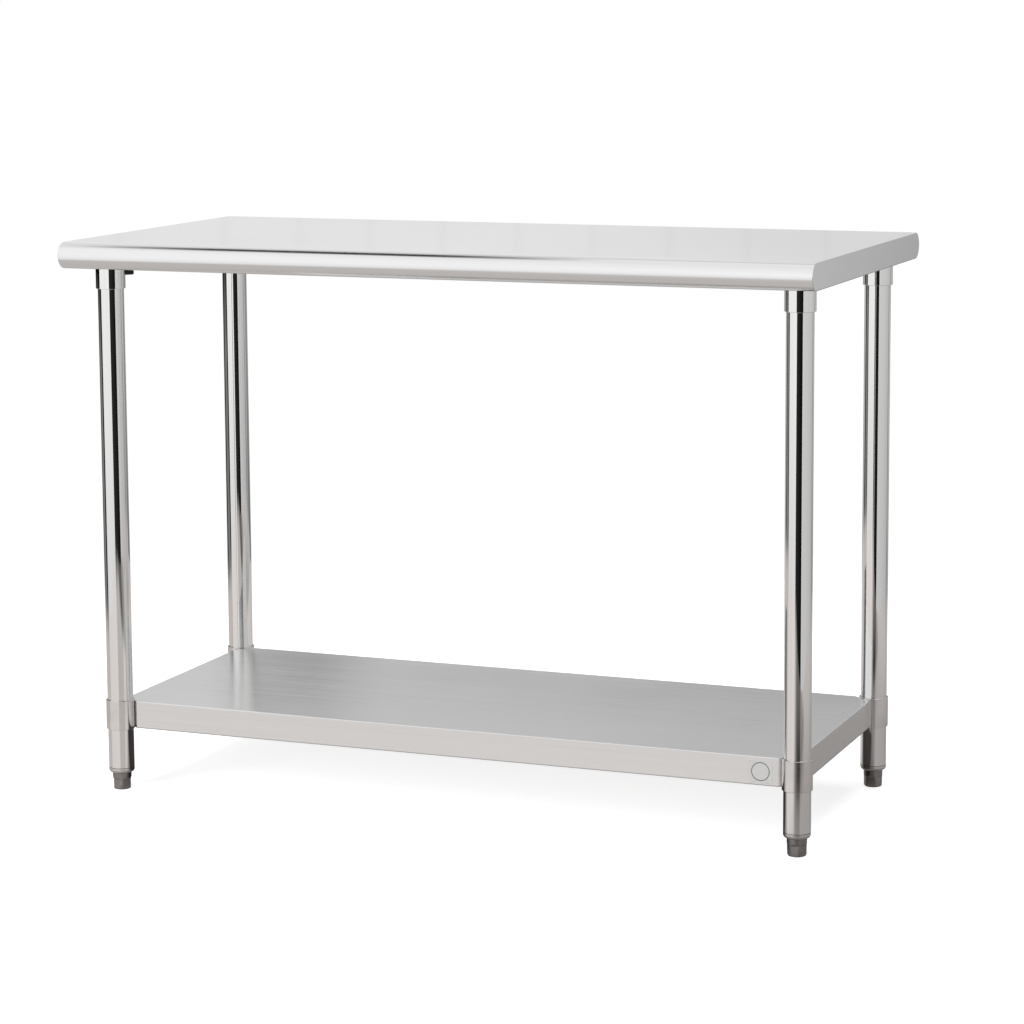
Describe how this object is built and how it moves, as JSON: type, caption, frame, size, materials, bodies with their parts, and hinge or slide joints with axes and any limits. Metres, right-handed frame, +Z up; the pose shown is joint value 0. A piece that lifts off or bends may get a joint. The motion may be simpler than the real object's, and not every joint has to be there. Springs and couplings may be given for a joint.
{
  "type": "stainless work table",
  "caption": "Stainless work table with rounded front and rear edges, round tube legs, a height-adjustable undershelf and screw-in levelling feet.",
  "frame": {"origin": "on the floor under the centre of the table, feet screwed fully in", "axes": "+Z up, +X along the length to the right, +Y to the rear; -Y is the front"},
  "size_m": [1.2192, 0.6094, 0.889],
  "materials": {
    "brushed_sheet": "satin",
    "polished_tube": "polished",
    "satin_collar": "satin",
    "channel": "galvanised",
    "spindle": "plated",
    "foot": "dark glossy cast",
    "black_screws": "black oxide",
    "label": "satin"
  },
  "bodies": {
    "frame": {"top_sheet": "brushed_sheet", "top_channel_center": "channel", "top_channel_left": "channel", "top_channel_right": "channel", "channel_studs": "channel", "channel_nuts": "channel", "socket_set_screws": "black_screws", "leg_socket_front_left": "satin_collar", "leg_socket_front_right": "satin_collar", "leg_socket_rear_left": "satin_collar", "leg_socket_rear_right": "satin_collar", "leg_front_left": "polished_tube", "leg_front_right": "polished_tube", "leg_rear_left": "polished_tube", "leg_rear_right": "polished_tube", "foot_insert_front_left": "satin_collar", "foot_insert_front_right": "satin_collar", "foot_insert_rear_left": "satin_collar", "foot_insert_rear_right": "satin_collar"},
    "undershelf": {"shelf_sheet": "brushed_sheet", "shelf_channel": "channel", "collar_set_screws": "black_screws", "shelf_label": "label", "shelf_collar_front_left": "satin_collar", "shelf_collar_front_right": "satin_collar", "shelf_collar_rear_left": "satin_collar", "shelf_collar_rear_right": "satin_collar"},
    "spindle_front_left": {"foot_spindle_front_left": "spindle"},
    "foot_front_left": {"foot_front_left": "foot"},
    "spindle_front_right": {"foot_spindle_front_right": "spindle"},
    "foot_front_right": {"foot_front_right": "foot"},
    "spindle_rear_left": {"foot_spindle_rear_left": "spindle"},
    "foot_rear_left": {"foot_rear_left": "foot"},
    "spindle_rear_right": {"foot_spindle_rear_right": "spindle"},
    "foot_rear_right": {"foot_rear_right": "foot"}
  },
  "joints": [
    {"name": "shelf_height", "type": "slide", "parent": "frame", "child": "undershelf", "axis": [0, 0, 1], "range_m": [-0.06, 0.65]},
    {"name": "foot_lift_front_left", "type": "slide", "parent": "frame", "child": "spindle_front_left", "axis": [0, 0, -1], "range_m": [0, 0.024]},
    {"name": "foot_turn_front_left", "type": "hinge", "parent": "spindle_front_left", "child": "foot_front_left", "pos_m": [-0.5658, -0.2164, 0.0276], "axis": [0, 0, -1], "range_deg": [0, 5760]},
    {"name": "foot_lift_front_right", "type": "slide", "parent": "frame", "child": "spindle_front_right", "axis": [0, 0, -1], "range_m": [0, 0.024]},
    {"name": "foot_turn_front_right", "type": "hinge", "parent": "spindle_front_right", "child": "foot_front_right", "pos_m": [0.5658, -0.2164, 0.0276], "axis": [0, 0, -1], "range_deg": [0, 5760]},
    {"name": "foot_lift_rear_left", "type": "slide", "parent": "frame", "child": "spindle_rear_left", "axis": [0, 0, -1], "range_m": [0, 0.024]},
    {"name": "foot_turn_rear_left", "type": "hinge", "parent": "spindle_rear_left", "child": "foot_rear_left", "pos_m": [-0.5658, 0.2164, 0.0276], "axis": [0, 0, -1], "range_deg": [0, 5760]},
    {"name": "foot_lift_rear_right", "type": "slide", "parent": "frame", "child": "spindle_rear_right", "axis": [0, 0, -1], "range_m": [0, 0.024]},
    {"name": "foot_turn_rear_right", "type": "hinge", "parent": "spindle_rear_right", "child": "foot_rear_right", "pos_m": [0.5658, 0.2164, 0.0276], "axis": [0, 0, -1], "range_deg": [0, 5760]}
  ],
  "couplings": [
    {"joint": "foot_turn_front_left", "follows": "foot_lift_front_left", "rad_per_m": 4188.8},
    {"joint": "foot_turn_front_right", "follows": "foot_lift_front_right", "rad_per_m": 4188.8},
    {"joint": "foot_turn_rear_left", "follows": "foot_lift_rear_left", "rad_per_m": 4188.8},
    {"joint": "foot_turn_rear_right", "follows": "foot_lift_rear_right", "rad_per_m": 4188.8}
  ]
}
